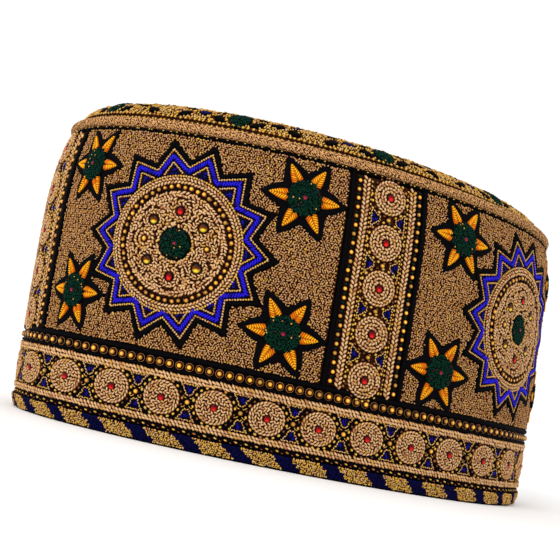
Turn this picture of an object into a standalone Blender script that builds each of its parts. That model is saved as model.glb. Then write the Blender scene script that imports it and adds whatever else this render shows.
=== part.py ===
"""Embroidered cap with a band of star medallions.

The cap is an oval band of quilted cotton with a rolled hem, a padded crown sewn on along
a piped seam, and raised embroidered pieces laid on the band: a frieze of coiled rosettes
above the hem, and above it four panels, each a fourteen-pointed star among four flowers,
parted by four upright strips of coiled rosettes.

Embroidered pieces are drawn flat, as x along the band, y up it and z off its face, and
then wrapped onto the band. Metres, +Z up, the rim on z = 0, the long way of the cap on X.
"""
import math

import bmesh
import bpy
import numpy as np
from mathutils import Vector

# Driving dimensions
PLAN_LENGTH = 0.2074          # oval of the band's face, long way
PLAN_WIDTH = 0.1470           # oval of the band's face, short way
BAND_HEIGHT = 0.1043          # top edge of the band
CLOTH = 0.0024                # quilted cotton wall of the band
CROWN_CLOTH = 0.0020
GAP = 0.0004                  # air kept between pieces that lie on each other

# The band's upright shape: it swells to the belly, then rolls in to the crown seam
BELLY_HEIGHT = 0.072
BELLY_OUT = 0.0002
RIM_IN = 0.0009
SHOULDER_IN = 0.0035
SHOULDER_POWER = 2.3
SHOULDER_AT_LEFT = 0.28       # the left end rolls in this much more than the front, the right less
LEAN = -0.045                 # how far the soft band leans along X for each metre of height
LEAN_PIVOT = 0.0573           # height that stays over the middle of the oval

HEM_HEIGHT = 0.0050
PIPING_RADIUS = 0.0018
PIPING_HEIGHT = 0.1065        # middle of the piping
PIPING_OUT = 0.0003           # how far that is outside the band's top edge
CROWN_RISE = 0.0106
CROWN_ROUNDING = 11           # higher is flatter on top and rounder at the edge
CROWN_POWER = 0.4
CROWN_AT_RIGHT = -0.184       # the right end stands this much lower, the left higher

PANELS = 4
AROUND = 48                   # facets round the oval
EMBROIDERY = 0.0010           # thickness of a laid embroidered piece
RAISE = 0.0007                # what stands up from it

FRIEZE_BOTTOM = 0.0056
FRIEZE_TOP = 0.0288
FRIEZE_ROSETTES = 32
FRIEZE_ROSETTE_HEIGHT = 0.0158
FRIEZE_ROSETTE_RADIUS = 0.0064
FRIEZE_SHIFT = -0.0046        # the rosettes stand this far along from the panels' pattern

PANEL_BOTTOM = 0.0292
PANEL_TOP = 0.1020
STAR_HEIGHT = 0.0667
STAR_POINTS = 14
STAR_TIP_RADIUS = 0.0355
STAR_VALLEY_RADIUS = 0.0275
STAR_DISC_RADIUS = 0.0232
STAR_RING_RADIUS = 0.0125
STAR_BOSS_RADIUS = 0.0052

FLOWER_ASIDE = 0.0400         # from the star's middle, along the band
FLOWER_UP = 0.0228            # and up or down it
FLOWER_PETALS = 6
FLOWER_TIP_RADIUS = 0.0143
FLOWER_VALLEY_RADIUS = 0.0082
FLOWER_DISC_RADIUS = 0.0062

STRIP_HALF_WIDTH = 0.0150
STRIP_CORD = 0.0017
STRIP_ROSETTES = 5
STRIP_ROSETTE_LOW = 0.0346
STRIP_ROSETTE_PITCH = 0.0156
STRIP_ROSETTE_RADIUS = 0.0062

# The needlework isn't quite even. Each pair is a place along the pattern, from the front
# middle toward +X, and how far along the work there is shifted
PANEL_EASE = [
    (-0.2103, 0.0), (-0.1827, 0.0032), (-0.1552, 0.0064), (-0.1252, 0.0064), (-0.1171, 0.0041),
    (-0.1100, 0.0026), (-0.1023, 0.0013), (-0.0935, 0.0003), (-0.0836, 0.0),
]
FRIEZE_EASE = [
    (-0.2804, 0.0), (-0.1185, -0.0057), (-0.1010, -0.0019), (-0.0834, 0.0), (0.0393, 0.0005),
    (0.0568, 0.0023), (0.0743, 0.0053), (0.2804, 0.0),
]

# Where the band's facets break, from rim to crown seam
BAND_ROWS = [0.0, 0.15, 0.38, 0.62, 0.79, 0.88, 0.95, 1.0]
CROWN_RINGS = [1.0, 0.995, 0.98, 0.95, 0.90, 0.80, 0.50, 0.0]

# Section of the hem binding: how far outside the foot of the band's face, and height
HEM_SECTION = [
    {"outward": 0.0008, "height": 0.0014},
    {"outward": 0.0018, "height": HEM_HEIGHT},
    {"outward": -0.0026, "height": HEM_HEIGHT},
    {"outward": -0.0026, "height": 0.0012},
    {"outward": -0.0016, "height": 0.0},
    {"outward": 0.0, "height": 0.0},
]

CLOTH_FINISHES = {
    "tan_chain_stitch": {"colour": (0.42, 0.24, 0.09, 1.0), "roughness": 0.85},
    "tan_twill": {"colour": (0.48, 0.30, 0.13, 1.0), "roughness": 0.80},
    "black_satin": {"colour": (0.012, 0.010, 0.016, 1.0), "roughness": 0.55},
    "blue_satin": {"colour": (0.030, 0.018, 0.60, 1.0), "roughness": 0.50},
    "orange_satin": {"colour": (0.90, 0.38, 0.03, 1.0), "roughness": 0.50},
    "gold_tan_braid": {"colour": (0.56, 0.36, 0.13, 1.0), "roughness": 0.70},
}


def oval_lengths(steps=4000):
    """The oval's angle and the length along it, from the front middle round toward +X."""
    angle = np.linspace(-math.pi / 2, 1.5 * math.pi, steps + 1)
    x = PLAN_LENGTH / 2 * np.cos(angle)
    y = PLAN_WIDTH / 2 * np.sin(angle)
    along = np.concatenate([[0.0], np.cumsum(np.hypot(np.diff(x), np.diff(y)))])
    return angle, along


OVAL_ANGLE, OVAL_ALONG = oval_lengths()
PERIMETER = float(OVAL_ALONG[-1])
PANEL = PERIMETER / PANELS


def oval_angle(along):
    return float(np.interp(along % PERIMETER, OVAL_ALONG, OVAL_ANGLE))


def oval_point(angle, outset, height):
    """A point a given way outside the oval, leaned with the cap."""
    half_length, half_width = PLAN_LENGTH / 2, PLAN_WIDTH / 2
    c, s = math.cos(angle), math.sin(angle)
    outward = Vector((c / half_length, s / half_width, 0)).normalized()
    point = Vector((half_length * c, half_width * s, height)) + outward * outset
    point.x += LEAN * (height - LEAN_PIVOT)
    return point


def band_outset(angle, height):
    """How far the band's face stands outside the oval at a height."""
    if height <= BELLY_HEIGHT:
        short = 1 - height / BELLY_HEIGHT
        return BELLY_OUT - (BELLY_OUT + RIM_IN) * short * short
    depth = SHOULDER_IN * (1 - SHOULDER_AT_LEFT * math.cos(angle))
    share = (height - BELLY_HEIGHT) / (BAND_HEIGHT - BELLY_HEIGHT)
    return BELLY_OUT - depth * share ** SHOULDER_POWER


def band_face(angle, height):
    return oval_point(angle, band_outset(angle, height), height)


def on_band(along, height, proud):
    """A point of a flat drawing, laid on the band's face and stood off it."""
    angle, step = oval_angle(along), 0.001
    across = band_face(oval_angle(along + step), height) - band_face(oval_angle(along - step), height)
    upward = band_face(angle, height + step) - band_face(angle, height - step)
    return band_face(angle, height) + across.cross(upward).normalized() * proud


def eased(along, ease):
    """A length along the band, shifted as the uneven needlework is there."""
    along = (along + PERIMETER / 2) % PERIMETER - PERIMETER / 2
    return along + float(np.interp(along, [place for place, shift in ease], [shift for place, shift in ease]))


def wrap(bm, along, height):
    """Moves a flat drawing onto the band, its origin at a length along it and a height."""
    for vert in bm.verts:
        flat = vert.co.copy()
        vert.co = on_band(eased(along + flat.x, PANEL_EASE), height + flat.y, flat.z)


def finish_of(name):
    material = bpy.data.materials.get(name)
    if material is None:
        finish = CLOTH_FINISHES[name]
        material = bpy.data.materials.new(name)
        material.use_nodes = True
        material.diffuse_color = finish["colour"]
        shader = material.node_tree.nodes["Principled BSDF"]
        shader.inputs["Base Color"].default_value = finish["colour"]
        shader.inputs["Roughness"].default_value = finish["roughness"]
        shader.inputs["Metallic"].default_value = 0.0
    return material


def add_object(name, data, finish):
    obj = bpy.data.objects.new(name, data)
    data.materials.append(finish_of(finish))
    bpy.data.collections["balochi_cap"].objects.link(obj)
    return obj


def add_mesh(name, bm, finish):
    """Welds a mesh's seams, faces it outward and makes it an object."""
    bmesh.ops.remove_doubles(bm, verts=bm.verts, dist=1e-6)
    bmesh.ops.recalc_face_normals(bm, faces=bm.faces)
    mesh = bpy.data.meshes.new(name)
    bm.to_mesh(mesh)
    bm.free()
    mesh.shade_smooth()
    mesh.set_sharp_from_angle(angle=math.radians(40))
    return add_object(name, mesh, finish)


def sheet(columns, rows, place):
    """A grid of faces whose points go where place(column, row) says."""
    bm = bmesh.new()
    bmesh.ops.create_grid(bm, x_segments=columns, y_segments=rows, size=0.5)
    for vert in bm.verts:
        vert.co = place(round((vert.co.x + 0.5) * columns), round((vert.co.y + 0.5) * rows))
    return bm


def wall_from(obj, thickness):
    """Gives an outward-facing sheet its thickness on the inner side."""
    solidify = obj.modifiers.new("cloth", "SOLIDIFY")
    solidify.thickness = thickness
    solidify.offset = -1
    solidify.use_even_offset = True


def oval_step(column):
    return -math.pi / 2 + 2 * math.pi * (column % AROUND) / AROUND


def make_side_wall():
    bottom = HEM_HEIGHT + GAP

    def place(column, row):
        return band_face(oval_step(column), bottom + (BAND_HEIGHT - bottom) * BAND_ROWS[row])

    wall = add_mesh("side_wall", sheet(AROUND, len(BAND_ROWS) - 1, place), "tan_chain_stitch")
    wall_from(wall, CLOTH)


def make_hem_binding():
    corners = len(HEM_SECTION)

    def place(column, row):
        corner = HEM_SECTION[row % corners]
        angle = oval_step(column)
        return oval_point(angle, band_outset(angle, 0) + corner["outward"], corner["height"])

    add_mesh("hem_binding", sheet(AROUND, corners, place), "gold_tan_braid")


def piping_outset(angle):
    return band_outset(angle, BAND_HEIGHT) + PIPING_OUT


def make_top_piping():
    """A cord in a closed loop along the crown seam, standing on the band's top edge."""
    curve = bpy.data.curves.new("top_piping", "CURVE")
    curve.dimensions = "3D"
    curve.bevel_depth = PIPING_RADIUS
    curve.bevel_resolution = 2
    spline = curve.splines.new("POLY")
    spline.points.add(AROUND - 1)
    for step, point in enumerate(spline.points):
        angle = oval_step(step)
        point.co = (*oval_point(angle, piping_outset(angle), PIPING_HEIGHT), 1)
    spline.use_cyclic_u = True
    add_object("top_piping", curve, "tan_twill")


def make_crown():
    """The padded crown, rounded beside the piping and flat on top."""
    edge_height = PIPING_HEIGHT - PIPING_RADIUS * 0.7

    def place(column, row):
        reach = CROWN_RINGS[row]
        angle = oval_step(column)
        edge = oval_point(angle, piping_outset(angle) - PIPING_RADIUS - GAP, edge_height)
        middle = Vector((LEAN * (edge_height - LEAN_PIVOT), 0, edge_height))
        point = middle.lerp(edge, reach)
        rise = CROWN_RISE * (1 - reach ** CROWN_ROUNDING) ** CROWN_POWER
        rise *= 1 + CROWN_AT_RIGHT * math.cos(angle) * reach
        return point + Vector((LEAN * rise, 0, rise))

    crown = add_mesh("crown", sheet(AROUND, len(CROWN_RINGS) - 1, place), "gold_tan_braid")
    wall_from(crown, CROWN_CLOTH)


def turned(profile, steps):
    """Spins a closed profile of (radius, height) points about the z axis."""
    bm = bmesh.new()
    verts = [bm.verts.new((radius, 0, height)) for radius, height in profile]
    edges = [bm.edges.new((verts[i], verts[i + 1])) for i in range(len(verts) - 1)]
    bmesh.ops.spin(bm, geom=verts + edges, cent=(0, 0, 0), axis=(0, 0, 1), angle=2 * math.pi,
                   steps=steps, use_merge=True, use_duplicate=False)
    bmesh.ops.remove_doubles(bm, verts=bm.verts, dist=1e-6)
    return bm


def pull_valleys(bm, tip, valley, points):
    """Draws every second point of a turned plate's outer edge in, which leaves a star."""
    for vert in bm.verts:
        radius = math.hypot(vert.co.x, vert.co.y)
        turn = math.atan2(vert.co.y, vert.co.x) / (2 * math.pi) * 2 * points
        if abs(radius - tip) < tip * 0.02 and round(turn) % 2:
            vert.co.x *= valley / radius
            vert.co.y *= valley / radius


def make_stars():
    top = GAP + EMBROIDERY
    profile = [
        (0, top + 2 * RAISE), (STAR_BOSS_RADIUS, top + 2 * RAISE), (STAR_BOSS_RADIUS, top + RAISE),
        (STAR_DISC_RADIUS, top + RAISE), (STAR_DISC_RADIUS + 0.0004, top), (STAR_TIP_RADIUS, top),
        (STAR_TIP_RADIUS, GAP), (STAR_DISC_RADIUS, GAP), (STAR_RING_RADIUS, GAP), (0, GAP),
    ]
    for panel in range(PANELS):
        bm = turned(profile, 2 * STAR_POINTS)
        pull_valleys(bm, STAR_TIP_RADIUS, STAR_VALLEY_RADIUS, STAR_POINTS)
        wrap(bm, (panel + 0.5) * PANEL, STAR_HEIGHT)
        add_mesh(f"star_{panel + 1}", bm, "blue_satin")


def make_flowers():
    top = GAP + EMBROIDERY
    profile = [
        (0, top + RAISE), (FLOWER_DISC_RADIUS, top + RAISE), (FLOWER_DISC_RADIUS, top),
        (FLOWER_TIP_RADIUS, top), (FLOWER_TIP_RADIUS, GAP), (FLOWER_DISC_RADIUS, GAP), (0, GAP),
    ]
    corners = [(-1, 1), (1, 1), (-1, -1), (1, -1)]
    for panel in range(PANELS):
        for number, (aside, up) in enumerate(corners):
            bm = turned(profile, 2 * FLOWER_PETALS)
            pull_valleys(bm, FLOWER_TIP_RADIUS, FLOWER_VALLEY_RADIUS, FLOWER_PETALS)
            wrap(bm, (panel + 0.5) * PANEL + aside * FLOWER_ASIDE, STAR_HEIGHT + up * FLOWER_UP)
            add_mesh(f"flower_{panel + 1}_{number + 1}", bm, "orange_satin")


def make_strips():
    """Upright strips with a raised cord along each side."""
    top = GAP + EMBROIDERY
    inner = STRIP_HALF_WIDTH - STRIP_CORD
    section = [
        (-STRIP_HALF_WIDTH, GAP), (-STRIP_HALF_WIDTH, top + RAISE), (-inner, top + RAISE),
        (-inner, top), (0, top), (inner, top), (inner, top + RAISE),
        (STRIP_HALF_WIDTH, top + RAISE), (STRIP_HALF_WIDTH, GAP),
        (STRIP_HALF_WIDTH / 3, GAP), (-STRIP_HALF_WIDTH / 3, GAP),
    ]
    rows = 7
    for panel in range(PANELS):
        def place(column, row):
            across, proud = section[column % len(section)]
            return Vector((across, PANEL_BOTTOM + (PANEL_TOP - PANEL_BOTTOM) * row / rows, proud))

        bm = sheet(len(section), rows, place)
        bmesh.ops.remove_doubles(bm, verts=bm.verts, dist=1e-6)
        bmesh.ops.holes_fill(bm, edges=[edge for edge in bm.edges if edge.is_boundary], sides=0)
        wrap(bm, panel * PANEL, 0)
        add_mesh(f"strip_{panel + 1}", bm, "black_satin")


def make_strip_rosettes():
    """Coiled discs up the middle of each strip."""
    low = 2 * GAP + EMBROIDERY
    high = low + RAISE * 1.6
    profile = [
        (0, high), (STRIP_ROSETTE_RADIUS * 0.72, high), (STRIP_ROSETTE_RADIUS, low + RAISE * 0.6),
        (STRIP_ROSETTE_RADIUS, low), (0, low),
    ]
    for panel in range(PANELS):
        for number in range(STRIP_ROSETTES):
            bm = turned(profile, 10)
            wrap(bm, panel * PANEL, STRIP_ROSETTE_LOW + number * STRIP_ROSETTE_PITCH)
            add_mesh(f"strip_rosette_{panel + 1}_{number + 1}", bm, "tan_chain_stitch")


def make_frieze():
    """The frieze above the hem: a laid band with its coiled rosettes joined to it."""
    columns = 2 * FRIEZE_ROSETTES
    middle = (FRIEZE_BOTTOM + FRIEZE_TOP) / 2
    section = [
        (FRIEZE_BOTTOM, GAP), (FRIEZE_BOTTOM, GAP + EMBROIDERY), (FRIEZE_TOP, GAP + EMBROIDERY),
        (FRIEZE_TOP, GAP), (middle, GAP),
    ]

    def place(column, row):
        height, proud = section[row % len(section)]
        along = (column % columns) * PERIMETER / columns + FRIEZE_SHIFT
        return on_band(eased(along, FRIEZE_EASE), height, proud)

    frieze = add_mesh("rosette_frieze", sheet(columns, len(section), place), "gold_tan_braid")

    low, high = GAP + EMBROIDERY / 2, GAP + EMBROIDERY + RAISE
    discs = bpy.data.meshes.new("frieze_discs")
    bm = bmesh.new()
    for number in range(FRIEZE_ROSETTES):
        disc = bmesh.ops.create_cone(bm, cap_ends=True, segments=10, radius1=FRIEZE_ROSETTE_RADIUS,
                                     radius2=FRIEZE_ROSETTE_RADIUS * 0.85, depth=high - low)
        for vert in disc["verts"]:
            flat = vert.co.copy()
            along = (number + 0.5) * PERIMETER / FRIEZE_ROSETTES + FRIEZE_SHIFT + flat.x
            height = FRIEZE_ROSETTE_HEIGHT + flat.y
            vert.co = on_band(eased(along, FRIEZE_EASE), height, flat.z + (low + high) / 2)
    bmesh.ops.recalc_face_normals(bm, faces=bm.faces)
    bm.to_mesh(discs)
    bm.free()
    cutter = bpy.data.objects.new("frieze_discs", discs)
    bpy.data.collections["cutters"].objects.link(cutter)
    cutter.hide_render = True
    cutter.display_type = "WIRE"
    join = frieze.modifiers.new("rosettes", "BOOLEAN")
    join.operation = "UNION"
    join.solver = "EXACT"
    join.object = cutter


def main():
    for obj in list(bpy.data.objects):
        bpy.data.objects.remove(obj, do_unlink=True)
    for name in ("balochi_cap", "cutters"):
        collection = bpy.data.collections.new(name)
        bpy.context.scene.collection.children.link(collection)
    make_side_wall()
    make_hem_binding()
    make_top_piping()
    make_crown()
    make_frieze()
    make_strips()
    make_strip_rosettes()
    make_stars()
    make_flowers()


main()
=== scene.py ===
import math

import bmesh
import bpy
import numpy as np
from mathutils import Matrix, Vector


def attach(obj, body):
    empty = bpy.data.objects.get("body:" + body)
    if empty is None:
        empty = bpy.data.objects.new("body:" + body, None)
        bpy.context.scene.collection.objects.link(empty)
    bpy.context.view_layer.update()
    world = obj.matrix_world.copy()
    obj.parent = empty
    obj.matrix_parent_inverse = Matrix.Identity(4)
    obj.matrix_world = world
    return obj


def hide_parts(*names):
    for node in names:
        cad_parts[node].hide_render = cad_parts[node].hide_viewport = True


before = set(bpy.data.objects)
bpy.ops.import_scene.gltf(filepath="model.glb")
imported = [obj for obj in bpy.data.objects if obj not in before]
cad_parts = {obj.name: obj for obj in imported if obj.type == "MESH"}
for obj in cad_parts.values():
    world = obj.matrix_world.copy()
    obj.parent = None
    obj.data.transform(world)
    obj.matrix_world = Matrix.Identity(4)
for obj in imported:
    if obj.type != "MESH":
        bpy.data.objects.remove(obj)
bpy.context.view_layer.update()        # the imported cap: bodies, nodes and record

# The embroidery is drawn flat in millimetres: x round the band from the middle of its front,
# y up from the rim, z out from its face. It is laid onto the cap only when a piece is made.
mm = 0.001
chance = np.random.default_rng(42)

capForm = {
    "halfLength": 103.7, "halfWidth": 73.5,        # oval of the band's cloth face
    "bandHeight": 104.3, "bellyHeight": 72.0, "bellyOut": 0.2, "rimIn": 0.9,
    "shoulderIn": 3.5, "shoulderPower": 2.3, "shoulderAtLeft": 0.28,
    "lean": -0.045, "leanPivot": 57.3,
    "around": 570.0,                               # length round the embroidered surface
    "pipingHeight": 106.5, "pipingRadius": 1.8, "pipingOut": 0.3,
    "crownRise": 10.6, "crownRounding": 11, "crownPower": 0.4, "crownAtRight": -0.184, "gap": 0.4,
    "panels": 4, "panelBottom": 30.2, "panelTop": 103.0,
}
around = capForm["around"]
panelWidth = around / capForm["panels"]

# The needlework isn't quite even: each pair is a place round the band, and how far along the
# work is shifted there
panelEase = [(-213.8, 0.0), (-185.8, 3.2), (-157.8, 6.5), (-127.2, 6.5), (-119.0, 4.2), (-111.9, 2.6),
             (-104.0, 1.3), (-95.0, 0.3), (-85.0, 0.0)]
friezeEase = [(-285.0, 0.0), (-120.5, -5.8), (-102.7, -1.9), (-84.8, 0.0), (40.0, 0.5), (57.7, 2.3),
              (75.5, 5.4), (285.0, 0.0)]


def ovalTable(steps=4000):
    angle = np.linspace(-math.pi / 2, 1.5 * math.pi, steps + 1)
    x = capForm["halfLength"] * np.cos(angle)
    y = capForm["halfWidth"] * np.sin(angle)
    run = np.concatenate([[0.0], np.cumsum(np.hypot(np.diff(x), np.diff(y)))])
    return angle, run / run[-1]


ovalAngles, ovalShares = ovalTable()


def ovalAngle(along):
    return np.interp(np.mod(along, around) / around, ovalShares, ovalAngles)


def bandOutset(angle, height):
    form = capForm
    short = 1 - height / form["bellyHeight"]
    low = form["bellyOut"] - (form["bellyOut"] + form["rimIn"]) * short * short
    share = (height - form["bellyHeight"]) / (form["bandHeight"] - form["bellyHeight"])
    depth = form["shoulderIn"] * (1 - form["shoulderAtLeft"] * np.cos(angle))
    high = form["bellyOut"] - depth * np.clip(share, 0, None) ** form["shoulderPower"]
    return np.where(height <= form["bellyHeight"], low, high)


def ovalPoint(angle, outset, height):
    form = capForm
    c, s = np.cos(angle), np.sin(angle)
    outX, outY = c / form["halfLength"], s / form["halfWidth"]
    size = np.hypot(outX, outY)
    x = form["halfLength"] * c + outX / size * outset + form["lean"] * (height - form["leanPivot"])
    y = form["halfWidth"] * s + outY / size * outset
    return np.stack([x, y, height + 0 * x], axis=-1)


def bandFace(along, height):
    angle = ovalAngle(along)
    return ovalPoint(angle, bandOutset(angle, height), height)


def stoodOff(point, across, upward, proud):
    normal = np.cross(across, upward)
    return point + normal / np.linalg.norm(normal, axis=1, keepdims=True) * proud[:, None]


def ontoBand(flat):
    along, height, proud = flat.T
    across = bandFace(along + 1, height) - bandFace(along - 1, height)
    upward = bandFace(along, height + 1) - bandFace(along, height - 1)
    return stoodOff(bandFace(along, height), across, upward, proud)


# A distance round the cap, taken the short way
def nearest(along):
    return np.mod(along + around / 2, around) - around / 2


def eased(flat, ease):
    places, shifts = zip(*ease)
    return flat + np.outer(np.interp(nearest(flat[:, 0]), places, shifts), (1, 0, 0))


def ontoPanel(flat):
    return ontoBand(eased(flat, panelEase))


def ontoFrieze(flat):
    return ontoBand(eased(flat, friezeEase))


# The crown starts at the piping's foot, a little inside it
crownFoot = capForm["pipingHeight"] - 0.7 * capForm["pipingRadius"]
crownMiddle = np.array([capForm["lean"] * (crownFoot - capForm["leanPivot"]), 0.0, crownFoot])


def crownEdge(angle):
    form = capForm
    outset = bandOutset(angle, form["bandHeight"]) + form["pipingOut"] - form["pipingRadius"] - form["gap"]
    return ovalPoint(angle, outset, crownFoot)


edgeAngles = np.linspace(-math.pi, math.pi, 1441)
edgePlan = crownEdge(edgeAngles)[:, :2] - crownMiddle[:2]
edgeBearings = np.unwrap(np.arctan2(edgePlan[:, 1], edgePlan[:, 0]))


# The crown's edge on the bearing of a point in plan: its angle round the oval, and how far out it is
def edgeToward(x, y):
    angle = np.interp(np.arctan2(y, x), edgeBearings, edgeAngles)
    return angle, np.linalg.norm(crownEdge(angle)[:, :2] - crownMiddle[:2], axis=1)


def crownFace(angle, reach):
    form = capForm
    point = crownMiddle + (crownEdge(angle) - crownMiddle) * reach[:, None]
    rise = form["crownRise"] * np.clip(1 - reach ** form["crownRounding"], 0, None) ** form["crownPower"]
    rise = rise * (1 + form["crownAtRight"] * np.cos(angle) * reach)
    return point + np.stack([form["lean"] * rise, 0 * rise, rise], axis=-1)


def offCrown(angle, reach, proud):
    near = np.clip(reach, 0.0015, 0.9985)
    across = crownFace(angle + 0.004, near) - crownFace(angle - 0.004, near)
    upward = crownFace(angle, near - 0.0012) - crownFace(angle, near + 0.0012)
    return stoodOff(crownFace(angle, reach), across, upward, proud)


# Plan millimetres from the crown's middle, and how far off its face
def ontoCrown(flat):
    x, y, proud = flat.T
    angle, edge = edgeToward(x, y)
    return offCrown(angle, np.clip(np.hypot(x, y) / edge, 0, 1), proud)


# How far it is over the crown's rounded edge, from the seam toward the middle
crownReaches = 1 - np.linspace(0, 1, 900) ** 3 * 0.45
crownSection = crownFace(np.full(900, -math.pi / 2), crownReaches)
crownRuns = np.concatenate([[0.0], np.cumsum(np.linalg.norm(np.diff(crownSection, axis=0), axis=1))])


# x round the seam, y over the crown's edge
def ontoCrownEdge(flat):
    along, up, proud = flat.T
    return offCrown(ovalAngle(along), np.interp(up, crownRuns, crownReaches), proud)


# Colours and finishes

finishes = {}
waveScale = 0.628        # a wave texture with this scale has its bands 1 mm apart
woven = "brownCottonPlainWoven"
lining = "liningCottonPlainWoven"
umber = "umberCottonPlainWoven"
felt = "blackFeltPressed"
twill = "tanCottonTwillWoven"
ground = "cottonThreadChainStitched"
braided = "cottonThreadBraided"
gilt = "giltThreadChainStitched"
blue = "blueFlossSatinStitched"
navy = "navyFlossSatinStitched"
orange = "orangeFlossSatinStitched"
green = "greenCottonKnotted"
blackCord = "blackCordCouched"
chenille = "goldChenilleLooped"
brass = "brassBeadPressed"
seed = "brownSeedWaxed"


def linear(hexColour):
    parts = [int(hexColour[start:start + 2], 16) / 255 for start in (1, 3, 5)]
    return tuple(p / 12.92 if p <= 0.04045 else ((p + 0.055) / 1.055) ** 2.4 for p in parts) + (1.0,)


def setInputs(tree, node, inputs):
    for key, value in inputs.items():
        if isinstance(value, bpy.types.NodeSocket):
            tree.links.new(value, node.inputs[key])
        else:
            node.inputs[key].default_value = value


# Adds a node and gives back the output that is named
def addNode(tree, kind, inputs, output, **settings):
    node = tree.nodes.new("ShaderNode" + kind)
    for key, value in settings.items():
        setattr(node, key, value)
    setInputs(tree, node, inputs)
    return node.outputs[output]


def setRamp(colour, stops):
    ramp = colour.node.color_ramp
    while len(ramp.elements) < len(stops):
        ramp.elements.new(0.5)
    for element, (position, hexColour) in zip(ramp.elements, stops):
        element.position = position
        element.color = linear(hexColour)
    return colour


# A new material's nodes, its shader, and the marks that every stitch carries: rise is 0 at its foot and 1
# on its back, and the colours hung on it paint shade at the foot and highlight on the back; tint is its own
# random number, and run is its own flat place in mm
def newMaterial(name):
    material = bpy.data.materials.new(name)
    material.use_nodes = True
    finishes[name] = material
    tree = material.node_tree
    marks = {mark: addNode(tree, "Attribute", {}, "Fac", attribute_name=mark) for mark in ("rise", "tint")}
    marks["run"] = addNode(tree, "UVMap", {}, "UV", uv_map="stitchRun")
    return tree, tree.nodes["Principled BSDF"], marks


# The colours in a stitch's foot, painted dark as shade, on its side, and on its back, painted bright as
# highlight, the two colours that some of the stitches lean towards, then roughness and gloss
threadLooks = {
    # mercerised cotton, chain stitched: tan, with painted highlight on the backs and painted red-brown
    # shade in the gaps between them
    ground: ("#220803", "#7C461C", "#E0B07A", "#B47A1C", "#7C3C1C", 0.7, 0.08),
    # the same cotton in laid braid: paler, plumper and a little pink
    braided: ("#300E04", "#A26C3A", "#F2CA98", "#C28A2C", "#98522E", 0.7, 0.08),
    # gilt thread, chain stitched: yellow, with painted glints along every fine line
    gilt: ("#240A04", "#9A601C", "#F8CC54", "#D8B060", "#8C3A28", 0.5, 0.15),
    # rayon floss, satin stitched: deep blue, nearly black navy and orange, with a silky streak of painted
    # highlight on each stitch's back
    blue: ("#02012C", "#10099A", "#2E1EEC", "#080464", "#2014C0", 0.6, 0.08),
    navy: ("#000008", "#020320", "#0A0A4C", "#020210", "#10083A", 0.7, 0.04),
    orange: ("#843002", "#EE8A04", "#FFC824", "#DC5204", "#FFBE1C", 0.6, 0.06),
    # cotton knots: almost black green, with a bluish edge
    green: ("#000302", "#01150D", "#083A26", "#04262E", "#010705", 0.75, 0.05),
    # viscose cord, couched flat: black with a faint violet fibre
    blackCord: ("#010001", "#020203", "#060508", "#06041A", "#010101", 0.8, 0.03),
    # chenille cotton, looped: rough gold pile on the hem and crown
    chenille: ("#1E0A04", "#94602A", "#EEC66E", "#E4A61C", "#6C3014", 0.7, 0.08),
}
# how coarse the thread's twist is drawn, in mm: the real one is near 0.25, too fine to show
threadTwist = 0.55


def makeThread(name, low, middle, high, odd, other, roughness, gloss):
    tree, shader, marks = newMaterial(name)
    # painted shade at each stitch's foot and painted highlight on its back, by its rise
    colour = setRamp(addNode(tree, "ValToRGB", {"Fac": marks["rise"]}, "Color"),
                     [(0.42, low), (0.68, middle), (0.96, high)])
    # a quarter of the stitches lean to one colour, and a fifth to the other
    for start, end, leaning in ((0.72, 1.0, odd), (0.2, 0.0, other)):
        share = addNode(tree, "MapRange", {"Value": marks["tint"], "From Min": start, "From Max": end,
                                           "To Max": 0.75}, "Result")
        colour = addNode(tree, "Mix", {"Factor": share, "A": colour, "B": linear(leaning)}, "Result",
                         data_type="RGBA")
    twist = addNode(tree, "TexWave", {"Vector": marks["run"], "Scale": waveScale / threadTwist,
                                      "Distortion": 0.6, "Detail": 1.0}, "Fac", bands_direction="DIAGONAL")
    # painted shade in the grooves of the twist, and a little painted light on its plies
    shade = addNode(tree, "MapRange", {"Value": twist, "To Min": 0.7, "To Max": 1.1}, "Result")
    varied = addNode(tree, "HueSaturation", {"Color": colour, "Value": shade}, "Color")
    bump = addNode(tree, "Bump", {"Height": twist, "Strength": 0.5, "Distance": 0.12 * mm}, "Normal")
    setInputs(tree, shader, {"Base Color": varied, "Normal": bump, "Roughness": roughness,
                             "Specular IOR Level": gloss})


# Woven cloths: the colours of their grooves, dark as painted shade, and of their threads, the thread
# spacing in mm, and roughness.
# The real spacing is 0.3 to 0.5 mm, too fine to show
clothLooks = {
    # cotton ground cloth, plain woven and dyed brown, and darker still as painted shade: it shows only
    # between the stitches, in the gaps where shade falls
    woven: ("#1C0803", "#45220E", 0.9, 0.9),
    # the same cloth dyed nearly black: the ground of the upright strips
    umber: ("#0A0302", "#281008", 0.9, 0.9),
    # cotton lining, plain woven: soft undyed tan inside the cap
    lining: ("#8C7350", "#C0A67A", 0.9, 0.9),
    # cotton twill, woven: tan with a fine slanting rib and brown flecks
    twill: ("#280A02", "#D29C64", 1.0, 0.9),
    # black felted wool, pressed: a flat dark ground for cords and beads
    felt: ("#020102", "#0B080C", 1.1, 0.95),
}


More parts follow.
